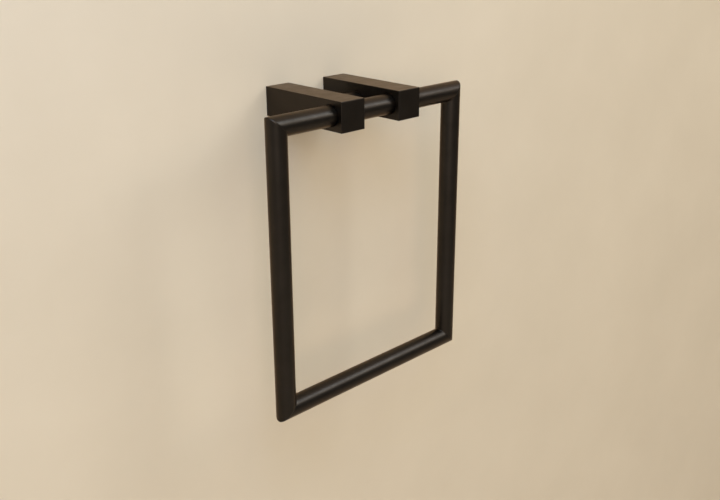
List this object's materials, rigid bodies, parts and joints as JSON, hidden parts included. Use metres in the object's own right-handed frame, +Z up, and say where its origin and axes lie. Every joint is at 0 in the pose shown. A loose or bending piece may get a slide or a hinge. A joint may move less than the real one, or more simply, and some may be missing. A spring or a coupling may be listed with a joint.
{
  "type": "towel holder",
  "caption": "Wall-mounted towel holder: an upright rectangular ring of round tube, its top bar carried through square posts that are joined by a short rod.",
  "frame": {"origin": "on the wall plane, midway between the two wall screw holes", "axes": "+Z up, +Y into the wall, +X to the right of someone facing the wall; the holder stands out towards -Y"},
  "size_m": [0.202, 0.087, 0.2437],
  "materials": {
    "ring_finish": "satin black powder coat",
    "post_finish": "satin black powder coat",
    "rod_finish": "satin black powder coat",
    "boss_metal": "turned, zinc plated",
    "screw_metal": "blackened"
  },
  "bodies": {
    "root": {"ring_top_bar": "ring_finish", "ring_bottom_bar": "ring_finish", "ring_left_tube": "ring_finish", "ring_right_tube": "ring_finish", "left_post": "post_finish", "right_post": "post_finish", "cross_rod": "rod_finish", "left_wall_boss": "boss_metal", "right_wall_boss": "boss_metal", "boss_grub_screws": "screw_metal", "bar_grub_screws": "screw_metal"}
  },
  "joints": []
}
